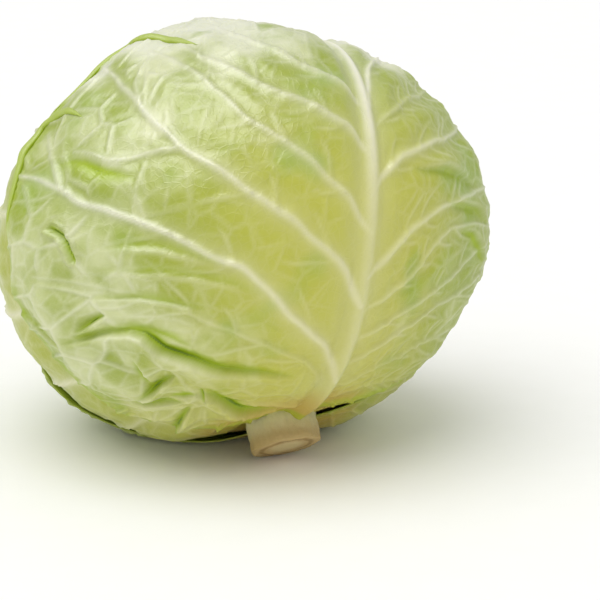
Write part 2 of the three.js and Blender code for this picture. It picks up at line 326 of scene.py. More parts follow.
class Path:
    """A line on the flat leaf"""

    def __init__(self, points):
        self.points = np.asarray(points, float)

    def nearest(self, x, y):
        """Each point's distance in mm from the path, on its left side positive, and the share along it"""
        distance = np.full(len(x), 1e3)
        share = np.zeros(len(x))
        pieces = len(self.points) - 1
        for k in range(pieces):
            (ax, ay), (bx, by) = self.points[k], self.points[k + 1]
            ux, uy = bx - ax, by - ay
            t = np.clip(((x - ax) * ux + (y - ay) * uy) / (ux * ux + uy * uy), 0, 1)
            away = np.hypot(x - ax - t * ux, y - ay - t * uy)
            side = np.where(ux * (y - ay) - uy * (x - ax) >= 0, 1.0, -1.0)
            closer = away < np.abs(distance)
            distance = np.where(closer, away * side, distance)
            share = np.where(closer, (k + t) / pieces, share)
        return distance * ARC_MM, share

    def near(self, x, y, margin):
        low, high = self.points.min(0) - margin, self.points.max(0) + margin
        return np.flatnonzero((x > low[0]) & (x < high[0]) & (y > low[1]) & (y < high[1]))


class Vein(Path):
    """A side vein or a branch: its half width and height in mm at its two ends, and how pale it is"""

    def __init__(self, points, half_widths, heights, paleness):
        super().__init__(points)
        self.sizes = (half_widths, heights)
        self.paleness = paleness

    def size_at(self, share):
        return (near + (far - near) * share for near, far in self.sizes)


NET_REPEAT = 40  # cells after which a net repeats
NET_INSET = 0.12  # how far a cell's point stays from the cell's sides


class Net:
    """Lines between the cells of scattered points: the small veins that join up between the big ones"""

    def __init__(self, seed, size):
        rng = np.random.default_rng(seed)
        self.size = size
        self.places = rng.uniform(NET_INSET, 1 - NET_INSET, (NET_REPEAT, NET_REPEAT, 2))
        self.shades = rng.uniform(0, 1, (NET_REPEAT, NET_REPEAT))

    def __call__(self, x, y):
        """For places in mm: the distance in mm from the nearest line, and the cell's shade from 0 to 1"""
        place = np.stack((x, y), axis=1) / self.size
        cells = np.floor(place).astype(int)[:, None] + list(product((-2, -1, 0, 1, 2), repeat=2))
        wrapped = tuple(np.moveaxis(np.mod(cells, NET_REPEAT), -1, 0))
        points = cells + self.places[wrapped]
        away = ((place[:, None] - points) ** 2).sum(axis=2)
        each = np.arange(len(x))
        first, second = np.argsort(away, axis=1)[:, :2].T
        apart = np.sqrt(((points[each, second] - points[each, first]) ** 2).sum(axis=1))
        line = (away[each, second] - away[each, first]) / (2 * apart) * self.size
        return line, self.shades[wrapped][each, first]


BRANCH_SHARES = (0.24, 0.42, 0.6, 0.78)
BRANCH_SHIFT = 0.07  # how far from its share a branch may leave the vein
BRANCH_ANGLE = 46.0
BRANCH_STRAIGHTENING = 0.35  # the share of its angle that a branch keeps at its end
BRANCH_LENGTHS = (7.0, 24.0)  # the shortest and the longest, in degrees
OUTERMOST_ROOM = 14.0  # for a branch with no vein beyond it


def turned(vector, degrees):
    angle = np.radians(degrees)
    c, s = np.cos(angle), np.sin(angle)
    return np.array((vector[0] * c - vector[1] * s, vector[0] * s + vector[1] * c))


def branch_from(points, share, angle, length):
    """A branch that leaves a path at an angle and bends back along it"""
    place = share * (len(points) - 1)
    k = min(int(place), len(points) - 2)
    along = points[k + 1] - points[k]
    start = points[k] + along * (place - k)
    along = along / np.hypot(*along)
    elbow = start + turned(along, angle) * length * 0.5
    end = elbow + turned(along, angle * BRANCH_STRAIGHTENING) * length * 0.5
    return bowed(start, elbow, end, np.linspace(0, 1, 7)[:, None])


def smooth_line(points, count=LINE_STEPS):
    """A smooth line through some points, evenly spaced"""
    points = np.asarray(points, float)
    ends = np.vstack((2 * points[0] - points[1], points, 2 * points[-1] - points[-2]))
    place = np.linspace(0, len(points) - 1.000001, count)
    k = place.astype(int)
    return through(*(ends[k + j] for j in range(4)), (place - k)[:, None])


# The front leaf's side veins as the photograph shows them, each with its strength, from the top down
FRONT_LEFT = (
    ([(0, 19), (-6, 25.5), (-11.5, 29), (-18, 33.5), (-23, 39), (-31.5, 47), (-38, 56), (-44, 70)], 0.6),
    ([(0, 8), (-6, 14), (-11.5, 17), (-17.5, 21), (-23.5, 25), (-34, 34), (-46, 46), (-54, 60)], 0.7),
    ([(0, -9), (-6, -2), (-11.5, 2.5), (-21, 10), (-30.5, 17.5), (-34, 22), (-46, 38), (-60, 54)], 0.75),
    ([(0, -26), (-6, -17.5), (-13, -12), (-24, -3), (-36, 6), (-45.5, 15), (-58, 31), (-69.5, 49),
      (-77, 60)], 0.9),
    ([(0, -49), (-7, -37), (-15.5, -29.5), (-31, -15.5), (-49.5, -4), (-69.5, 7.5), (-85, 19.5),
      (-96, 26)], 1.0),
    ([(0, -56), (-10, -43), (-19.5, -37.5), (-32.5, -31.5), (-47.5, -23.5), (-62, -17), (-84, -10)], 0.35),
)
FRONT_RIGHT = (
    ([(0, 18), (1, 24), (3.5, 31), (8.5, 38.5), (20, 48.5), (28, 55)], 0.95),
    ([(0, 10), (3.5, 16.5), (10, 21.5), (18.5, 26.5), (30, 32), (42, 38)], 0.4),
    ([(0, -1), (3, 3), (9, 8), (16, 10.5), (24.5, 13.5), (32.5, 17), (46, 24)], 0.8),
    ([(0, -19), (7.5, -13), (13, -9.5), (19.5, -6.5), (28.5, -2.5), (38, 0.5), (52, 5)], 0.7),
    ([(0, -29), (10, -23.5), (16, -20), (21.5, -14), (27.5, -10), (36, -7.5), (54, -6)], 0.5),
)
FRONT_FORKS = (
    ([(-77.5, 14), (-82.5, 25.5), (-87, 37)], 0.5),
    ([(-45.5, 15), (-51, 15.5), (-61, 16), (-68.5, 20), (-76, 24)], 0.6),
    ([(-58, 31), (-61, 40), (-60, 50)], 0.45),
)


def side_veins(number):
    """For each side of a leaf: its veins' lines from the top down, and their strengths"""
    leaf = LEAVES[number]
    t = np.linspace(0, 1, LINE_STEPS)
    for side, ends, bows, strengths in leaf.sides:
        veins = zip(leaf.veins[-len(ends) :], ends, bows)
        lines = [leaf.vein_curve(start, side * end, bow, t) for start, end, bow in veins]
        if number == FRONT:
            drawn = FRONT_RIGHT if side == 1 else FRONT_LEFT
            lines = [smooth_line(points) for points, _ in drawn] + lines
            strengths = [strength for _, strength in drawn] + list(strengths)
        yield side, lines, strengths


def branches_of(lines, side, rng):
    """The branches that leave one side's veins, each into the room towards the next vein"""
    shortest, longest = BRANCH_LENGTHS
    for (k, line), share, flank in product(enumerate(lines), BRANCH_SHARES, (1, -1)):
        other = lines[min(max(k - flank * side, 0), len(lines) - 1)]
        here = int(share * (LINE_STEPS - 1))
        room = OUTERMOST_ROOM if other is line else np.hypot(*(other[here] - line[here]))
        length = min(room, longest) * rng.uniform(0.6, 1.0)
        if length < shortest:
            continue
        at = min(share + rng.uniform(-BRANCH_SHIFT, BRANCH_SHIFT), 0.95)
        angle = flank * (BRANCH_ANGLE + rng.uniform(-12, 8))
        yield Vein(branch_from(line, at, angle, length), (1.2, 0.8), (0.7, 0.25), 0.3)


def vein_paths(number):
    """The leaf's side veins, and the branches that leave them"""
    rng = np.random.default_rng(100 + number)
    mains, branches = [], []
    for side, lines, strengths in side_veins(number):
        for line, strength in zip(lines, strengths):
            widths = (1.6 + 1.0 * strength, 0.9)
            heights = (VEIN_HEIGHT * (0.4 + 0.6 * strength), VEIN_HEIGHT * (1 - VEIN_TAPER) * strength)
            mains.append(Vein(line, widths, heights, strength))
        branches.extend(branches_of(lines, side, rng))
    if number == FRONT:
        for points, strength in FRONT_FORKS:
            mains.append(Vein(smooth_line(points, LINE_STEPS // 2), (1.6, 1.0), (1.4, 0.6), strength))
    return mains, branches


def two_sided(value, before, after):
    """A bell whose width is before on the side below zero, and after on the side above"""
    return np.where(value < 0, bell(value, before), bell(value, after))


class Fold(Path):
    """A crease, green down in it, with a crest on its left: wide outwards and narrow down to the line"""

    def __init__(self, points, height, wide, narrow, green):
        super().__init__(points)
        self.height, self.wide, self.narrow, self.green = height, wide, narrow, green

    def profile(self, x, y):
        """The fold's rise in mm, its green, how far the leaf sinks beside it, and a painted highlight
        along its crest
        """
        distance, share = self.nearest(x, y)
        fade = np.sin(np.pi * share) ** 0.8
        distance = distance / (0.5 + 0.5 * fade)
        crest = distance - 1.6 * self.narrow
        rise = self.height * two_sided(crest, self.narrow, self.wide) * fade
        green = two_sided(distance, self.wide * 0.55, self.narrow * 0.7) * self.green * fade
        valley = two_sided(distance, 3.6, 1.5) * fade
        return rise, green, valley, bell(crest, self.narrow) * fade


# The front leaf's folds, as the photograph shows them: points in degrees on the flat leaf, height and the
# crest's two widths in mm, and how green
FRONT_FOLDS = (
    Fold([(-13, -47), (-22.5, -45), (-33, -43.5), (-41, -39), (-49, -36), (-54, -31.5), (-58, -30),
          (-68, -31.5), (-77, -33)], 4.4, 7.0, 1.05, 1.0),
    Fold([(-40, -36), (-46, -33), (-53, -30.5), (-60, -28)], 0.9, 4.0, 0.9, 0.7),
    Fold([(-63, -25), (-67, -27), (-72, -29.5)], 2.2, 3.5, 0.7, 1.0),
    Fold([(-38, -25.5), (-46, -23.5), (-52, -21.5), (-58.5, -20), (-67, -19.5)], 1.3, 4.5, 0.9, 0.5),
    Fold([(-12, -63), (-19, -64.5), (-25, -62.5), (-29.5, -58.5), (-34.5, -54), (-39, -51)],
         4.2, 5.5, 0.95, 1.0),
    Fold([(-38.5, -50.5), (-37.5, -53.5), (-36.5, -58)], 1.8, 2.5, 0.7, 1.0),
    Fold([(-45, -45), (-48.5, -48), (-51, -50.5), (-53.5, -53), (-57, -57)], 3.8, 5.0, 0.85, 1.0),
    Fold([(-57.5, -40), (-55, -45), (-52, -49)], 1.4, 3.5, 0.8, 0.8),
    Fold([(-40.5, -59), (-42.5, -64), (-43, -71), (-46, -81)], 4.0, 5.0, 0.85, 1.0),
    Fold([(-43, -57), (-48.5, -57), (-52.5, -57.5), (-59, -58)], 2.4, 4.0, 0.7, 0.8),
    Fold([(-39, -54), (-43, -54), (-48, -54.5)], 1.0, 2.5, 0.8, 0.9),
    Fold([(-26, -70), (-31, -75), (-33, -82), (-31, -88)], 2.0, 4.0, 0.8, 0.7),
    Fold([(-60, -62), (-66, -66), (-70, -72)], 1.8, 4.0, 0.8, 0.6),
    Fold([(-78, -35), (-88, -28), (-95, -21), (-101, -12)], 1.3, 4.0, 1.0, 0.3),
    Fold([(-34, -14), (-42.5, -10.5), (-52, -8), (-64, -6)], 0.6, 5.0, 1.3, 0.25),
    Fold([(-26, -22), (-38, -17), (-52, -14), (-66, -11)], 0.6, 5.0, 1.3, 0.25),
    Fold([(-80, 22), (-71, 18), (-63, 13.5), (-55, 9.5)], 1.0, 6.0, 2.2, 0.9),
    Fold([(13, 6), (20, 6), (27, 6), (34, 5), (42, 3)], 2.0, 5.0, 1.1, 0.5),
    Fold([(27, -2), (35.5, -2.5), (41.5, -3), (49, -6)], 2.0, 4.5, 1.1, 0.65),
    Fold([(35, -9), (41, -9.5), (44, -12), (47, -18)], 1.5, 3.5, 1.1, 0.8),
)
# The front leaf's rolled edges: their lines, and their half thickness in mm
ROLLED_EDGES = (
    ([(-94.2, 4), (-93.6, 16), (-93.6, 26), (-93.3, 34), (-92, 42), (-89, 43.5), (-86, 43.5), (-82.5, 42),
      (-79, 39.5), (-74, 34.5)], (0.1, 0.8, 1.6, 1.7, 1.4, 1.4, 1.6, 1.5, 0.8, 0.1)),
    ([(-90.5, 47), (-87.5, 54), (-84, 60), (-79.5, 66), (-73.5, 70.5), (-67.5, 66.5), (-62.5, 64),
      (-57.5, 61.5), (-52, 57), (-45.5, 50.5)], (0.1, 0.6, 1.1, 1.2, 1.1, 1.3, 1.6, 1.7, 1.2, 0.1)),
)
# The front leaf's tear, which shows fresh green
TEAR = Path([(-70.5, -9), (-73, -3), (-75, 0.5), (-79, 4)])
TEAR_HALF_WIDTH = 1.3
# Where the head is crumpled: the place's middle and radius, on the flat front leaf
CRUMPLE = ((-50, -54), 36.0)
CRUMPLE_HEIGHT = 2.2

# How a vein stands out and how pale it is: bells, each with its height and its width in half widths
VEIN_RIDGE = ((0.9, 0.75), (0.5, 2.2))
VEIN_PALE = ((0.68, 0.7), (0.32, 2.8))

NETS = (Net(41, 21.0), Net(43, 9.5), Net(47, 15.0))  # of joined veins, of small veins and of bumps
# A net's lines: their half width and height in mm, and how pale they are
JOINED_LINE = (1.1, 0.85, 0.34)
SMALL_LINE = (0.9, 0.22, 0.16)
# How the blade swells between the main veins, branches, bumps and small veins: height and the groove's
# half width in mm
PILLOWS = ((1.25 * PILLOW_HEIGHT, 8.0), (0.55, 4.0), (0.28, 4.0), (0.25, 2.6))
BLOOM_CELLS = (0.20, 0.10, 0.11)  # how much of the bloom follows each net's cells


def outer_share(x, y):
    """0 in the middle of a leaf, 1 towards its edge"""
    return smoothstep(np.hypot(x, y), 30, 75)


def main_veins(mains, x, y, bent):
    """The midrib's and side veins' height and paleness, and the distance in mm from the nearest"""
    towards_tip = smoothstep(y, *TIPWARD)
    ridge = np.zeros(len(x))
    pale = bell(x, arc_of(5.2 - 3.0 * towards_tip)) * (0.55 + 0.45 * smoothstep(y, -20, 20))
    pale = np.maximum(pale, 0.35 * bell(x, arc_of(13.0 - 6.0 * towards_tip)))
    to_main = np.abs(x) * ARC_MM
    for vein in mains:
        distance, share = vein.nearest(*bent)
        width, height = vein.size_at(share)
        ridge = np.maximum(ridge, height * bells(VEIN_RIDGE, distance, width))
        whiteness = vein.paleness * (1 - 0.3 * share) * bells(VEIN_PALE, distance, width)
        pale = np.maximum(pale, whiteness)
        to_main = np.minimum(to_main, np.abs(distance))
    return ridge, pale, to_main


def branch_veins(branches, bent, pale):
    """The branches' height, and the distance in mm from the nearest; they are laid into the paleness"""
    lines = np.zeros(len(pale))
    to_branch = np.full(len(pale), 12.0)
    for vein in branches:
        chosen = vein.near(*bent, 8.0)
        distance, share = vein.nearest(*bent[:, chosen])
        width, height = vein.size_at(share)
        fade = 1 - smoothstep(share, 0.6, 1.0)
        lines[chosen] = np.maximum(lines[chosen], height * bell(distance, width) * fade)
        whiteness = vein.paleness * bell(distance, width * 0.9) * fade
        pale[chosen] = np.maximum(pale[chosen], whiteness)
        to_branch[chosen] = np.minimum(to_branch[chosen], np.abs(distance) + 6 * (1 - fade))
    return lines, to_branch


def crumple_at(d):
    """How crumpled the head is in each direction, and the crests that its leaves are pushed up into"""
    x, y = LEAVES[FRONT].layout(d)
    (middle_x, middle_y), radius = CRUMPLE
    crumpled = 1 - smoothstep(np.hypot(x - middle_x, y - middle_y), radius * 0.5, radius)
    stretched = np.stack((x * 0.4 + y * 0.12, y - x * 0.1, np.zeros(len(x))), axis=1)
    crests = 1 - np.abs(wrinkles(stretched, 8.0) + 0.25 * wrinkles(stretched + 17, 3.5))
    return crumpled, crests - 0.4


def fold_front(bent, height, pale, green):
    """Lays the folds and the tear into the front leaf's relief, paleness and green; the folds' crests get
    painted highlights
    """
    for fold in FRONT_FOLDS:
        chosen = fold.near(*bent, 10.0)
        rise, tint, valley, crest = fold.profile(*bent[:, chosen])
        depth = min(1.0, fold.height / 2.4)
        height[chosen] = height[chosen] * (1 - 0.75 * depth * valley) + rise
        green[chosen] = np.maximum(green[chosen], tint)
        # A pale line along each crest: a painted highlight, laid into the paleness
        pale[chosen] = np.maximum(pale[chosen] * (1 - 0.8 * tint), 0.3 * crest)
    distance, share = TEAR.nearest(*bent)
    slit = bell(distance, TEAR_HALF_WIDTH) * smoothstep(share, 0, 0.1) * (1 - smoothstep(share, 0.9, 1))
    lips = bell(np.abs(distance) - 2 * TEAR_HALF_WIDTH, 1.2) * (slit > 0.001)
    height += 1.2 * lips - 2.0 * slit
    green[:] = np.maximum(green, slit)


def bloom_and_light_at(number, x, y, bent, points, shades, crumpled):
    """How thick the waxy coat lies: in clouds, in the veins' cells, in streaks up from the base, thicker
    to the top as painted sheen and, on the front leaf, thinner on the right as painted shade
    """
    above_base = bent[1] + LEAVES[number].reach[4] + 25
    fan, length = np.arctan2(bent[0], above_base), np.hypot(bent[0], above_base)
    streaks = np.stack((fan * 55, length * 0.12, np.zeros(len(x))), axis=1)
    bloom = sum((share * (shade - 0.5) for share, shade in zip(BLOOM_CELLS, shades)), 0.27)
    bloom = clouded(bloom, BLOOM_CLOUDS, points) + 0.18 * wrinkles(streaks, 2.2)
    # Thicker towards the top: painted sheen
    bloom += 0.30 * smoothstep(y, 8, 55) + 0.06 * outer_share(x, y) + 0.30 * crumpled
    if number == FRONT:
        # The front leaf's right side is painted greener and darker, as shade
        shaded_right = smoothstep(x, 2, 26) * bell(y - 2, 28)
        # Less bloom round a place left of the midrib, so the blade there is greener
        greener_middle = bell(np.hypot(x + 14, y - 8), 24)
        return bloom - (0.40 * shaded_right + 0.30 * greener_middle)
    return bloom - 0.10


def relief(number, x, y, d, from_edge):
    """How far a leaf's outer face stands out of its plain blade in mm, and what its material follows"""
    points = d * HEART_RADIUS
    bent = np.array((clouded(x, BEND_ACROSS, points), clouded(y, BEND_ALONG, points)))
    mains, branches = vein_paths(number)
    ridge, pale, to_main = main_veins(mains, x, y, bent)
    branch_lines, to_branch = branch_veins(branches, bent, pale)

    outer = outer_share(x, y)
    (joined, small, bump), shades = zip(*(net(*bent * ARC_MM) for net in NETS))
    width, high, joined_pale = JOINED_LINE
    joined_line = bell(joined, width) * (0.35 + 0.65 * outer) * smoothstep(to_main, 1.5, 5)
    branch_lines = np.maximum(branch_lines, high * joined_line)
    width, high, small_pale = SMALL_LINE
    small_line = bell(small, width) * smoothstep(to_main, 1, 3)
    branch_lines += high * small_line
    pale = np.maximum(pale, np.maximum(joined_pale * joined_line, small_pale * small_line))
    to_branch = np.minimum(to_branch, joined + 3 * (1 - outer))

    grooves = zip(PILLOWS, (to_main, to_branch, bump, small))
    pillow = sum(high * (1 - bell(distance, width)) for (high, width), distance in grooves)
    swelling = (pillow + 1.0 + 0.8 * clouded(0, LUMPS, points)) * smoothstep(from_edge, 0, 12)
    height = (ridge + branch_lines + swelling) * smoothstep(np.abs(x), 1, 8)
    towards_tip = smoothstep(y, *TIPWARD)
    rib_flanks = 1.5 * bell(x, arc_of(8.0 - 4.0 * towards_tip)) * (1 - 0.5 * towards_tip)
    height = np.maximum(height, rib_flanks)
    crumpled, crests = crumple_at(d)
    height += CRUMPLE_HEIGHT * crumpled * crests * smoothstep(from_edge, 0, 8)
    green = np.zeros(len(x))
    if number == FRONT:
        fold_front(bent, height, pale, green)
    bloom = bloom_and_light_at(number, x, y, bent, points, shades, crumpled)
    return np.maximum(height, 0), pale, green, bloom


# What the leaves' material follows over a piece, from 0 to 1
PLAIN_LEAF = dict.fromkeys(("vein", "fold", "base", "warm", "bloom", "wax"), 0.0)


def leaf_surface(number, x, y, fine):
    """A leaf's places in the head's axes, in mm, outside and fine or inside and plain, and its values"""
    leaf = LEAVES[number]
    d = leaf.direction(x, y)
    points = d * HEART_RADIUS
    shown = exposure(number, d) * off_the_table(d)
    from_edge = np.maximum(leaf.inside(x, y), 0)
    turn = np.arctan2(x, y)
    clockwise = np.degrees(turn)
    away_from_base = 1 - near_base(clockwise, 110, 150)
    ripple = 0.55 + 0.45 * np.sin(EDGE_RIPPLES * turn + 3 * leaf.phase)
    lift = EDGE_LIFT * ripple * bell(from_edge, EDGE_LIFT_WIDTH) * away_from_base
    ruffle = (0.5 + 0.5 * ruffles(points, 11.0)) * RUFFLE_HEIGHT * bell(from_edge, RUFFLE_WIDTH)
    lift += ruffle * (0.35 + 0.65 * away_from_base)
    low = heart_radius(d) + layers_below(number, d) + lift * shown
    if not fine:
        return d * low[:, None], {}
    height, pale, green, bloom = relief(number, x, y, d, from_edge)
    rib = leaf.midrib(x, y, 1) * (RIB_SUPPORT * off_the_table(d) + (1 - RIB_SUPPORT) * shown)
    rib *= 1 - RIB_SINKING * smoothstep(y, -55, -5)
    thickness = BLADE_THICKNESS * (EDGE_THICKNESS + (1 - EDGE_THICKNESS) * smoothstep(from_edge, 0, 6))
    low = low + thickness + rib + height * shown
    front = number == FRONT
    rim = 1 - smoothstep(from_edge + 0.8 * ruffles(points + 7, 6.0), 0.2, 2.6)
    if front:
        towards_roll = bell(np.mod(clockwise, 360) - GREEN_EDGE, 20)
        rim = np.maximum(rim, 1.6 * towards_roll * bell(from_edge, 2.6))
    beside_midrib = 1 - smoothstep(np.where(x > 0, 1.5, 1) * np.abs(x), 14, 66)
    warm = np.maximum(beside_midrib * (1 - smoothstep(y, -8, 44)), 1 - smoothstep(y, -82, -42))
    # Painted sheen: towards the leaves' tops the waxiest parts are whitened further
    top = smoothstep(y + 14 * swells(points + 70, 30.0), 22, 66)
    values = {
        # The veins' paleness, which also holds the painted highlights along the front leaf's fold crests
        # and the rolls
        "vein": pale,
        "fold": np.clip(np.maximum(green, (0.55 if front else 0.25) * rim), 0, 1),
        "base": 1 - smoothstep(from_stalk(d), 14, 58),
        "warm": (1.0 if front else 0.5) * warm,
        "bloom": np.clip(bloom, 0, 1),
        "wax": top * smoothstep(bloom, 0.2, 0.75),
    }
    return d * low[:, None], values


def to_scene(points):
    """Places in the head's axes, in mm, as places in the scene, in metres and above the floor"""
    places = (points @ TURN.T + HEAD_CENTRE) * MM
    places[:, 2] = np.maximum(places[:, 2], 0.0)
    return places


def places_of(mesh):
    flat = np.empty(len(mesh.vertices) * 3)
    mesh.vertices.foreach_get("co", flat)
    return flat.reshape(-1, 3)


def set_places(mesh, places):
    mesh.vertices.foreach_set("co", places.ravel())
    mesh.update()


def add_values(mesh, values):
    """Writes float attributes for the first vertices; the others get zero."""
    for name, numbers in values.items():
        full = np.zeros(len(mesh.vertices))
        full[: np.size(numbers)] = numbers
        mesh.attributes.new(name, "FLOAT", "POINT").data.foreach_set("value", full)


@contextmanager
def edit_mode(select=None):
    bpy.ops.object.mode_set(mode="EDIT")
    if select:
        bpy.ops.mesh.select_all(action=select)
    yield
    bpy.ops.object.mode_set(mode="OBJECT")


def just_added(name):
    """The object just added by an operator, under its name"""
    piece = bpy.context.object
    piece.name = piece.data.name = name
    return piece


def drawn_together(place, strength):
    """Moves even places from -1 to 1 closer together round -0.45, the front leaf's crumpled side."""
    steps = np.linspace(-1, 1, 800)
    density = 1 + strength * bell(steps + 0.45, 0.35)
    reached = np.cumsum(density)
    reached = 2 * (reached - reached[0]) / (reached[-1] - reached[0]) - 1
    return np.interp(place, reached, steps)


def add_grid(name, columns, rows):
    """A square grid, and its places from -1 to 1 along its two sides"""
    bpy.ops.mesh.primitive_grid_add(x_subdivisions=columns, y_subdivisions=rows, size=2)
    piece = just_added(name)
    return piece, places_of(piece.data)[:, :2].T


def add_disc(name, sides, radius, height):
    bpy.ops.mesh.primitive_circle_add(
        vertices=sides, radius=radius, fill_type="NGON", location=(0, 0, height)
    )
    disc = just_added(name)
    bpy.ops.object.transform_apply()
    return disc


def leaf_face(number, cells, name, fine):
    """A square grid whose rings become a leaf's outlines, its points on the flat leaf and its values"""
    leaf = LEAVES[number]
    piece, places = add_grid(name, cells, cells)
    u, v = drawn_together(places, CRUMPLED_DENSITY if number == FRONT else 0.0)
    across, along = u * np.sqrt(1 - v * v / 2), v * np.sqrt(1 - u * u / 2)
    turn = np.arctan2(across, along)
    reach = leaf.reach_at(np.degrees(turn)) + BASE_STRETCH * near_base(np.degrees(turn), 150, 176)
    radius = np.hypot(across, along) * reach
    x, y = radius * np.sin(turn), radius * np.cos(turn)
    points, values = leaf_surface(number, x, y, fine)
    set_places(piece.data, to_scene(points))
    return piece, np.stack((x, y), axis=1), values


def leaf_piece(number, cells, inner_cells):
    """One leaf: a fine outer face and a coarse inner one, bridged along the edge"""
    node = LEAVES[number].name
    outer, plane, values = leaf_face(number, cells, "leaf_" + node[-1], True)
    inner, _, _ = leaf_face(number, inner_cells, "inner_face", False)
    with edit_mode("SELECT"):
        bpy.ops.mesh.flip_normals()

    bpy.ops.object.select_all(action="DESELECT")
    inner.select_set(True)
    outer.select_set(True)
    bpy.context.view_layer.objects.active = outer
    bpy.ops.object.join()
    with edit_mode("DESELECT"):
        bpy.ops.mesh.select_mode(type="EDGE")
        bpy.ops.mesh.select_non_manifold()
        bpy.ops.mesh.bridge_edge_loops()
    bpy.ops.object.shade_smooth()

    mesh = outer.data
    add_values(mesh, values)
    full = np.zeros((len(mesh.vertices), 2))
    full[: len(plane)] = plane * ARC_MM * MM
    corners = np.empty(len(mesh.loops), int)
    mesh.loops.foreach_get("vertex_index", corners)
    mesh.uv_layers[0].data.foreach_set("uv", full[corners].ravel())
    dress(outer, node, leaf_material)


ROLL_CELLS = (90, 20)  # along a rolled edge and round it
ROLL_STEPS = 200
ROLL_SMOOTHING = 60  # passes that take the leaf's own relief out of the roll's axis


def rolled_edge(number, line, thickness, name):
    """An edge of the leaf rolled over on itself: a tapered roll along a line of its outer face"""
    piece, (u, v) = add_grid(name, *ROLL_CELLS)
    steps = np.linspace(0, 1, ROLL_STEPS)
    flat = smooth_line(line, ROLL_STEPS)
    axis, _ = leaf_surface(number, *flat.T, True)
    for _ in range(ROLL_SMOOTHING):
        axis[1:-1] = (axis[:-2] + 2 * axis[1:-1] + axis[2:]) / 4
    along = np.gradient(axis, axis=0)
    outward = unit(axis)
    sideways = unit(np.cross(along, outward))
    half = np.interp(steps, np.linspace(0, 1, len(thickness)), thickness)
    half *= (1 - bell(steps, 0.02)) * (1 - bell(1 - steps, 0.02)) * (1 + 0.12 * np.sin(23 * steps))
    share, around = (u + 1) / 2, v * np.pi
    axis, outward, sideways = (
        np.stack([np.interp(share, steps, part[:, k]) for k in range(3)], axis=1)
        for part in (axis, outward, sideways)
    )
    half = np.interp(share, steps, half)
    across, up = half * 1.25 * np.cos(around), half * (0.22 + 0.85 * np.sin(around))
    set_places(piece.data, to_scene(axis + sideways * across[:, None] + outward * up[:, None]))
    roll = 0.5 + 0.5 * np.sin(around)
    # Painted light on the roll: a pale highlight line along its upper flank and a paler top, with darker
    # green underneath as painted shade
    values = {
        "vein": 0.25 * bell(roll - 0.75, 0.2),
        "fold": 0.6 + 0.35 * (1 - roll),
        "bloom": 0.3 + 0.3 * roll,
    }
    add_values(piece.data, PLAIN_LEAF | values)
    with edit_mode("SELECT"):
        bpy.ops.mesh.remove_doubles(threshold=0.00001)
        bpy.ops.mesh.normals_make_consistent(inside=False)
    bpy.ops.object.shade_smooth()
    dress(piece, LEAVES[number].name, leaf_material)


def dress(piece, node, material):
    """Gives a piece its material and its place in the frame."""
    piece.data.materials.clear()
    piece.data.materials.append(material)
    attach(piece, "root")
    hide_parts(node)


def heart_piece():
    """The tight inner leaves, which show a little round the stalk"""
    bpy.ops.mesh.primitive_ico_sphere_add(subdivisions=6, radius=1)
    piece = just_added("inner_leaves")
    d = unit(places_of(piece.data))
    azimuth = np.degrees(np.arctan2(d[:, 1], d[:, 0]))
    ribs = np.abs(np.sin(np.radians(azimuth * 2.5 + 20)))
    near_stalk = 1 - smoothstep(from_stalk(d), 20, 45)
    radius = heart_radius(d) - LAYER_GAP - HEART_SLACK - 1.2 * ribs * near_stalk
    radius -= 0.5 * (1 + puckers(d * HEART_RADIUS, 12.0)) * off_the_table(d)
    set_places(piece.data, to_scene(d * radius[:, None]))
    values = {
        "vein": 0.5 * (1 - ribs) * near_stalk,
        "base": 1 - smoothstep(from_stalk(d), 14, 58),
        "bloom": 0.5 + 0.4 * swells(d * HEART_RADIUS, 20.0),
    }
    add_values(piece.data, PLAIN_LEAF | values)
    bpy.ops.object.shade_smooth()
    dress(piece, "heart", heart_material)


STALK_SIDES = 144
CUT_RINGS = (9, 1.35)  # how many rings of faces the cut has, and their width in mm


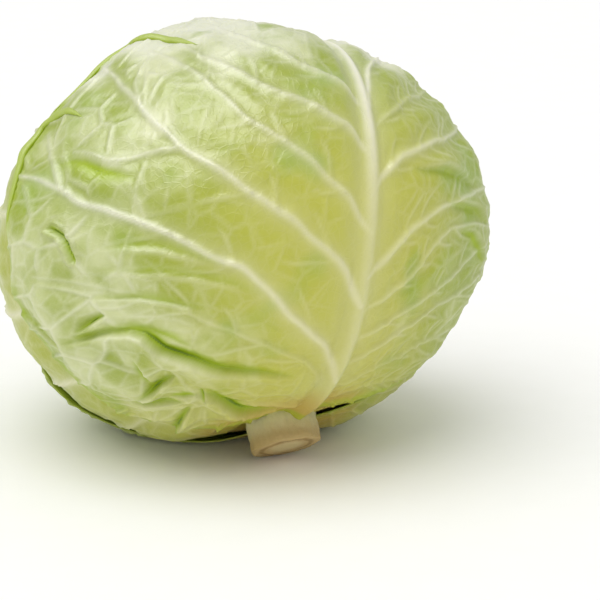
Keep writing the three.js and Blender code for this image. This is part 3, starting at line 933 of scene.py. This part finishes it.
def stalk_piece():
    """The stalk, extruded ring by ring from its cut face, with fibres down its side and a rough cut"""
    rings = (
        (STALK_RADIUS - STALK_BEVEL, STALK_END),
        (STALK_RADIUS - 0.3 * STALK_BEVEL, STALK_END - 0.3 * STALK_BEVEL),
        *((STALK_RADIUS, STALK_END - STALK_BEVEL - 1.3 * k) for k in range(17)),
        (STALK_RADIUS, STALK_END - STALK_STRAIGHT),
        (STALK_TOP_RADIUS, STALK_TOP),
    )
    radius, end = rings[0]
    piece = add_disc("cut_stalk", STALK_SIDES, radius, -end)
    with edit_mode():
        bpy.ops.mesh.select_mode(type="FACE")
        bpy.ops.mesh.select_all(action="SELECT")
        for wider, higher in rings[1:]:
            bpy.ops.mesh.extrude_region_move(TRANSFORM_OT_translate={"value": (0, 0, end - higher)})
            growth = wider / radius
            bpy.ops.transform.resize(value=(growth, growth, 1), center_override=(0, 0, -higher))
            radius, end = wider, higher
        bpy.ops.mesh.select_all(action="DESELECT")
    mesh = piece.data
    for face in mesh.polygons:
        face.select = abs(face.center.z + STALK_END) < 0.01 and len(face.vertices) == STALK_SIDES
    count, ring_width = CUT_RINGS
    with edit_mode():
        for _ in range(count):
            bpy.ops.mesh.inset(thickness=ring_width)
        bpy.ops.mesh.poke()
        bpy.ops.mesh.select_all(action="SELECT")
        bpy.ops.mesh.normals_make_consistent(inside=False)

    places = places_of(mesh)
    x, y = places[:, :2].T
    spread, turn = np.hypot(x, y), np.arctan2(y, x)
    height = STALK_END + places[:, 2]
    side = smoothstep(spread, STALK_RADIUS * 0.8, STALK_RADIUS)
    fibres = 0.16 * np.sin(31 * turn + 2 * np.sin(height / 5)) + 0.28 * np.sin(7 * turn + 1)
    scars = -0.5 * bell(np.mod(height + 2.2 * np.sin(turn + 1), 7.5) - 3.7, 0.7)
    squeeze = 1 + (fibres + scars - 0.35) * side / STALK_RADIUS
    places[:, :2] *= squeeze[:, None]
    cut = smoothstep(places[:, 2], -STALK_END + 0.5, -STALK_END)
    rough = 0.30 * puckers(places + 40, 3.2) + 0.18 * swells(places, 1.4)
    places[:, 2] += cut * (0.35 + rough - 0.35 * bell(spread - 9.4, 0.9) + 0.5 * bell(spread, 5.0))
    set_places(mesh, to_scene(places))
    add_values(mesh, {"cut": cut, "ring": spread / STALK_RADIUS, "depth": height * MM})
    bpy.ops.object.shade_smooth_by_angle(angle=np.radians(50))
    dress(piece, "stalk", stalk_material)


class Number:
    """A shader socket that takes part in Python arithmetic by adding Math nodes"""

    def __init__(self, shader, socket):
        self.shader = shader
        self.socket = socket

    def math(self, operation, *values, clamp=False):
        settings = {"operation": operation, "use_clamp": clamp}
        return self.shader.node("ShaderNodeMath", settings, dict(enumerate(values)))

    def __add__(self, other):
        return self.math("ADD", self, other)

    def __sub__(self, other):
        return self.math("SUBTRACT", self, other)

    def __rsub__(self, other):
        return self.math("SUBTRACT", other, self)

    def __mul__(self, other):
        return self.math("MULTIPLY", self, other)

    def clamped(self):
        return self.math("ADD", self, 0.0, clamp=True)

    __radd__ = __add__
    __rmul__ = __mul__


class Shader:
    """A material and the nodes that its surface is made of"""

    def __init__(self, name):
        self.material = bpy.data.materials.new(name)
        self.material.use_nodes = True
        self.tree = self.material.node_tree
        self.surface = self.tree.nodes["Principled BSDF"]

    def node(self, kind, settings=None, inputs=None, output=0):
        """Adds a node: its settings first, then the values or links of its sockets, by name or number."""
        made = self.tree.nodes.new(kind)
        for name, value in (settings or {}).items():
            setattr(made, name, value)
        for name, value in (inputs or {}).items():
            self.feed(made.inputs[name], value)
        return Number(self, made.outputs[output])

    def feed(self, socket, value):
        if isinstance(value, Number):
            self.tree.links.new(value.socket, socket)
        else:
            socket.default_value = value

    def finish(self, **sockets):
        """Sets the surface's own sockets, whose names have underscores for spaces here."""
        for name, value in sockets.items():
            self.feed(self.surface.inputs[name.replace("_", " ")], value)
        return self.material

    def attribute(self, name):
        return self.node("ShaderNodeAttribute", {"attribute_name": name}, output="Fac")

    def place(self):
        return self.node("ShaderNodeTexCoord", output="Object")

    def noise(self, scale, detail=2.0, roughness=0.5, vector=None):
        inputs = {"Scale": scale, "Detail": detail, "Roughness": roughness}
        return self.node("ShaderNodeTexNoise", {}, {"Vector": vector or self.place(), **inputs})

    def between(self, value, low, high):
        """0 where a value is low, 1 where it is high, with a smooth rise"""
        inputs = {"Value": value, "From Min": low, "From Max": high}
        return self.node("ShaderNodeMapRange", {"interpolation_type": "SMOOTHSTEP"}, inputs)

    def mix(self, share, first, second):
        """A mix of two colours, by number of the socket because the names repeat"""
        return self.node("ShaderNodeMix", {"data_type": "RGBA"}, {0: share, 6: first, 7: second}, output=2)

    def bump(self, height, strength, distance):
        inputs = {"Height": height, "Strength": strength, "Distance": distance}
        return self.node("ShaderNodeBump", {}, inputs)


def paint(hexadecimal):
    """A colour from its sRGB bytes"""
    channels = np.array([int(hexadecimal[k : k + 2], 16) / 255 for k in (1, 3, 5)])
    linear = np.where(channels <= 0.04045, channels / 12.92, ((channels + 0.055) / 1.055) ** 2.4)
    return (*linear, 1.0)


# The leaves' paints
# The white of the painted sheen towards the leaves' tops
PAINTED_SHEEN_WHITE = paint("#dfe1cb")
WARM_YELLOW = paint("#c0bf49")
FRESH_GREEN = paint("#90aa26")
RIB_CREAM = paint("#eeeddb")
BASE_OLIVE = paint("#c9c46c")
BASE_TAN = paint("#c2a34a")
FOLD_GREEN = paint("#a2b912")
# The darker green of the painted shade at the bottom of the deepest folds
FOLD_SHADE_GREEN = paint("#6c880d")
# The stalk's paints
STALK_SIDE = paint("#d7d3a0")
STALK_RIM = paint("#b79f68")
PITH_CREAM = paint("#dccb98")
CUT_TAN = paint("#c9b079")
CUT_SPOTS = paint("#a3864f")
BUNDLE_BROWN = paint("#94753f")


def waxy_leaf(name, waxy, green, vein_colour):
    """A leaf's skin: a pale waxy coat over greener patches with painted sheen at the top, whitish veins
    and a fine net, and green folds with painted shade at their deepest
    """
    shader = Shader(name)
    vein, fold, base, warm, bloom, wax = map(shader.attribute, PLAIN_LEAF)
    flat = shader.node("ShaderNodeUVMap", {"uv_map": "UVMap"})
    clouds = shader.between(shader.noise(19.0, detail=3.0, roughness=0.6), 0.36, 0.66)
    aside = {0: shader.place(), 1: (0.3, 0.3, 0.3)}
    aside = shader.node("ShaderNodeVectorMath", {"operation": "ADD"}, aside)
    fresh = shader.between(shader.noise(27.0, vector=aside), 0.54, 0.72)
    mottle = shader.noise(130.0, detail=4.0, roughness=0.62)
    net = shader.node(
        "ShaderNodeTexVoronoi", {"feature": "DISTANCE_TO_EDGE"},
        {"Vector": flat, "Scale": 300.0, "Randomness": 0.95},
    )
    threads = 1 - shader.between(net, 0.0, 0.10)
    whiteness = shader.between(bloom * 0.75 + mottle * 0.25 + (1 - clouds) * 0.12, 0.36, 0.80)
    blade = shader.mix(whiteness, green, waxy)
    # Painted sheen, whiter towards the leaves' tops
    blade = shader.mix((wax * (0.6 + 0.7 * mottle)).clamped(), blade, PAINTED_SHEEN_WHITE)
    blade = shader.mix(warm * (1 - whiteness * 0.35) * 0.9, blade, WARM_YELLOW)
    blade = shader.mix(fresh * (1 - whiteness) * 0.85, blade, FRESH_GREEN)
    blade = shader.mix(threads * 0.05, blade, vein_colour)
    rib_colour = shader.mix(warm, RIB_CREAM, vein_colour)
    blade = shader.mix((vein * (0.85 + 0.25 * mottle)).clamped(), blade, rib_colour)
    blade = shader.mix((base * 0.45).clamped(), blade, BASE_OLIVE)
    blade = shader.mix(shader.between(base, 0.74, 1.05) * 0.85, blade, BASE_TAN)
    # Where the fold value is highest, in the deepest creases, the tear's slit and under the rolls, the
    # folds' own green darkens as painted shade
    fold_colour = shader.mix(shader.between(fold, 0.8, 1.0), FOLD_GREEN, FOLD_SHADE_GREEN)
    colour = shader.mix((fold * (0.95 + 0.4 * mottle)).clamped(), blade, fold_colour)
    grain = shader.noise(900.0, roughness=0.6)
    skin = shader.bump(threads * 0.18 + mottle * 0.7 + grain * 0.1, 0.26, 0.0012)
    return shader.finish(
        Base_Color=colour,
        Roughness=0.30 + 0.20 * mottle + 0.06 * whiteness,
        Normal=skin,
        Subsurface_Weight=0.15,
        Subsurface_Radius=(1.0, 1.0, 0.4),
        Subsurface_Scale=0.003,
        Specular_IOR_Level=0.4,
        Coat_Weight=0.1,
        Coat_Roughness=0.25,
    )


def stalk_flesh():
    """The stalk: a cream side with fine fibres, and a tan cut with a darker ring of bundles"""
    shader = Shader("stalk_flesh")
    cut, ring, depth = map(shader.attribute, ("cut", "ring", "depth"))
    mottle = shader.noise(260.0, detail=3.0, roughness=0.6)
    fine = shader.noise(1500.0, roughness=0.6)
    side = shader.mix(shader.between(depth + 0.004 * mottle, 0.003, 0.014), STALK_RIM, STALK_SIDE)
    pith = shader.mix(shader.between(ring, 0.30, 0.62), PITH_CREAM, CUT_TAN)
    bundles = shader.between(ring, 0.60, 0.68) * (1 - shader.between(ring, 0.72, 0.82))
    face = shader.mix(bundles * (0.4 + 0.7 * mottle), pith, BUNDLE_BROWN)
    face = shader.mix(shader.between(mottle, 0.55, 0.75) * 0.5, face, CUT_SPOTS)
    colour = shader.mix(cut, side, face)
    return shader.finish(
        Base_Color=colour,
        Roughness=0.62 + 0.2 * fine,
        Normal=shader.bump(mottle * 0.7 + fine * 0.5, 0.5, 0.0008),
        Subsurface_Weight=0.12,
        Subsurface_Radius=(1.0, 0.8, 0.5),
        Subsurface_Scale=0.002,
    )


FLOOR_RADIUS = 8.0
FLOOR_DROP = 0.0002  # keeps the floor's face off the head's flat spot
WORLD_LIGHT = 0.68


def studio_floor():
    floor = add_disc("floor", 96, FLOOR_RADIUS, -FLOOR_DROP)
    shader = Shader("pale_floor")
    colour = shader.mix(shader.noise(60.0), paint("#fafaf8"), paint("#fdfdfc"))
    floor.data.materials.append(shader.finish(Base_Color=colour, Roughness=0.7))


def add_lamp(kind, name, place, aim, **settings):
    """A lamp at a place, turned towards another"""
    bpy.ops.object.light_add(type=kind, location=place)
    lamp = just_added(name)
    lamp.rotation_euler = (Vector(aim) - Vector(place)).to_track_quat("-Z", "Y").to_euler()
    for setting, value in settings.items():
        setattr(lamp.data, setting, value)
    return lamp


def studio_light():
    """A broad soft light from the upper left, a wide lamp that shows only as a sheen, and a white room"""
    add_lamp(
        "SUN", "key", place=(-0.45, -0.45, 1.7), aim=(0, 0, 0),
        energy=1.32, angle=np.radians(60), color=(1.0, 0.99, 0.97),
    )
    sheen = add_lamp("AREA", "sheen", place=(-0.41, -0.22, 1.25), aim=(-0.02, 0, 0.1), energy=27, size=1.2)
    sheen.visible_diffuse = False
    world = bpy.data.worlds.new("studio")
    world.use_nodes = True
    background = world.node_tree.nodes["Background"]
    background.inputs["Color"].default_value = (1, 1, 1, 1)
    background.inputs["Strength"].default_value = WORLD_LIGHT
    bpy.context.scene.world = world
    bpy.context.scene.view_settings.view_transform = "Standard"


# The photograph is square. The head's middle lies left of its middle, and above.
PHOTO_SIDE = 600.0
HEAD_PIXELS = 485.0
HEAD_WIDTH = 0.194
HEAD_MIDDLE = (246.0, 231.0)
CAMERA_ANGLE = np.radians(15.0)
CAMERA_DISTANCE = 1.0


def photo_camera():
    scale = HEAD_WIDTH / HEAD_PIXELS
    sine, cosine = np.sin(CAMERA_ANGLE), np.cos(CAMERA_ANGLE)
    back, up = Vector((0, -cosine, sine)), Vector((0, sine, cosine))
    across, down = ((PHOTO_SIDE / 2 - middle) * scale for middle in HEAD_MIDDLE)
    aim = (Vector(cad_box[0]) + Vector(cad_box[1])) / 2 + Vector((across, 0, 0)) - up * down
    bpy.ops.object.camera_add(location=aim + back * CAMERA_DISTANCE)
    camera = just_added("camera")
    camera.rotation_euler = (-back).to_track_quat("-Z", "Y").to_euler()
    camera.data.sensor_fit = "HORIZONTAL"
    camera.data.angle = 2 * np.arctan(PHOTO_SIDE * scale / 2 / CAMERA_DISTANCE)
    bpy.context.scene.camera = camera


leaf_material = waxy_leaf("waxy_leaf", paint("#ccd29c"), paint("#98a835"), paint("#e2dfb4"))
heart_material = waxy_leaf("inner_leaf", paint("#d8dba4"), paint("#cbd08c"), paint("#e8e8c8"))
stalk_material = stalk_flesh()
stalk_piece()
heart_piece()
for index in range(len(LEAVES)):
    leaf_piece(index, *(FRONT_CELLS if index == FRONT else BENEATH_CELLS))
for index, (line, thickness) in enumerate(ROLLED_EDGES):
    rolled_edge(FRONT, line, thickness, f"rolled_edge_{index + 1}")
studio_floor()
studio_light()
photo_camera()
